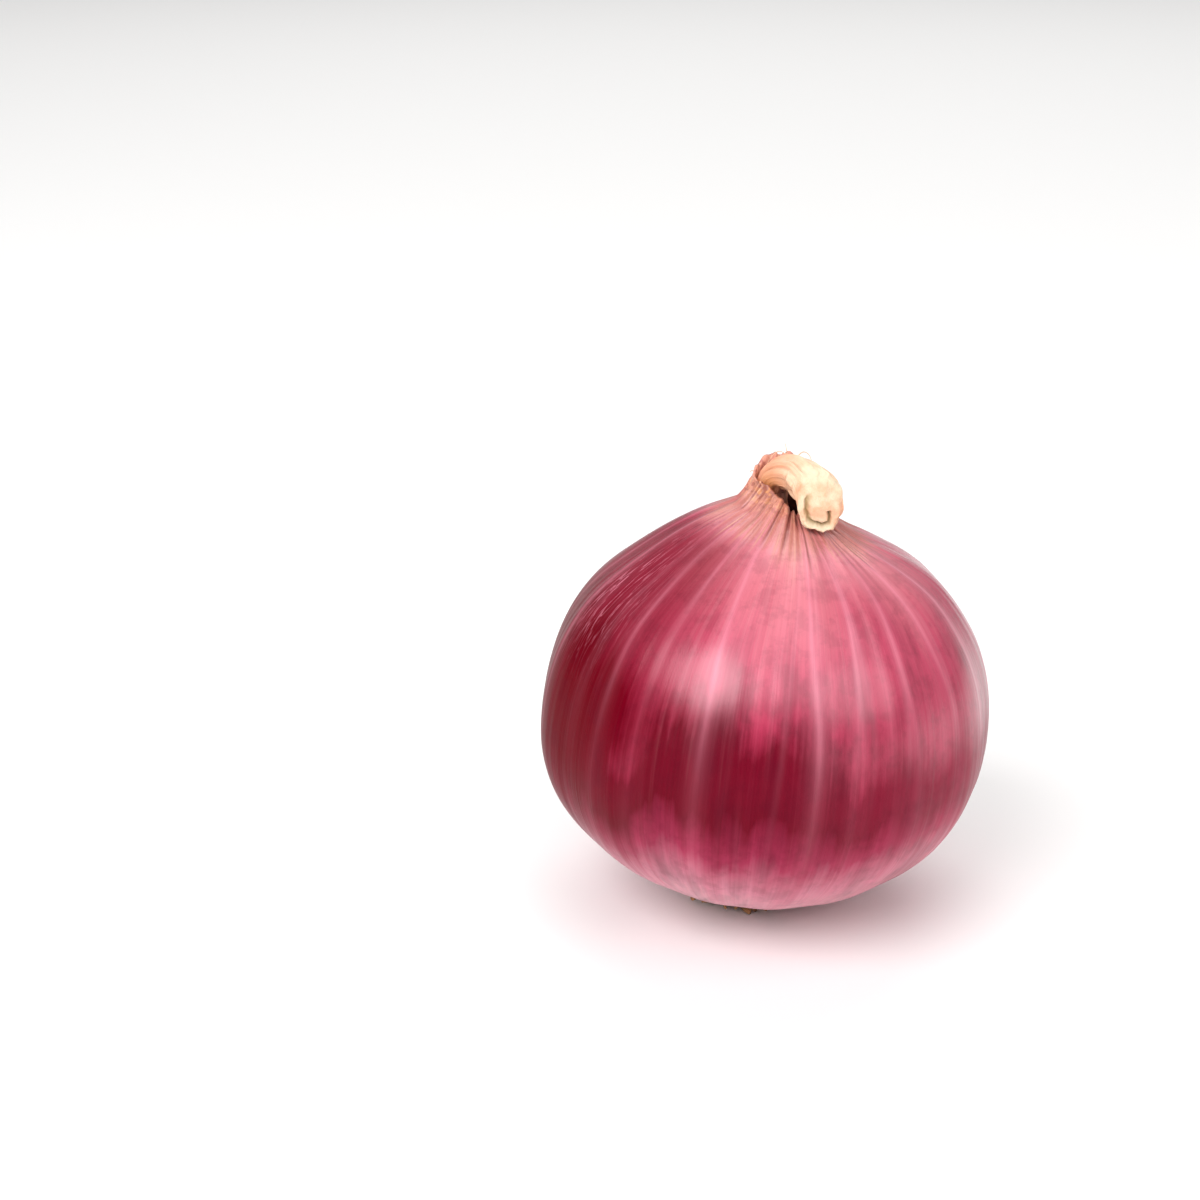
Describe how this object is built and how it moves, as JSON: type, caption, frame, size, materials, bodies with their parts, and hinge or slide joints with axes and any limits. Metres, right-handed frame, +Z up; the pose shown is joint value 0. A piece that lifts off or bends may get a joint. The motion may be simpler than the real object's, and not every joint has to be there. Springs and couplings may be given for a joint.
{
  "type": "red onion",
  "caption": "Whole red onion bulb with glossy veined crimson skin, a dry straw neck folded to one side and a trimmed root tuft it stands on.",
  "frame": {"origin": "middle of the flat foot under the root tuft, on the surface the onion stands on", "axes": "+Z up, -Y towards the side seen in the picture, +X the side that the neck folds to"},
  "size_m": [0.0707, 0.0693, 0.0736],
  "materials": {
    "red_skin": "dry papery onion skin, glossy crimson with pale veins from pole to pole",
    "dry_neck": "withered straw-coloured leaf sheath, matt and wrinkled",
    "dry_roots": "dried fibrous root stubs, matt straw brown"
  },
  "bodies": {
    "root": {"bulb": "red_skin", "dry_neck": "dry_neck", "root_tuft": "dry_roots"}
  },
  "joints": []
}
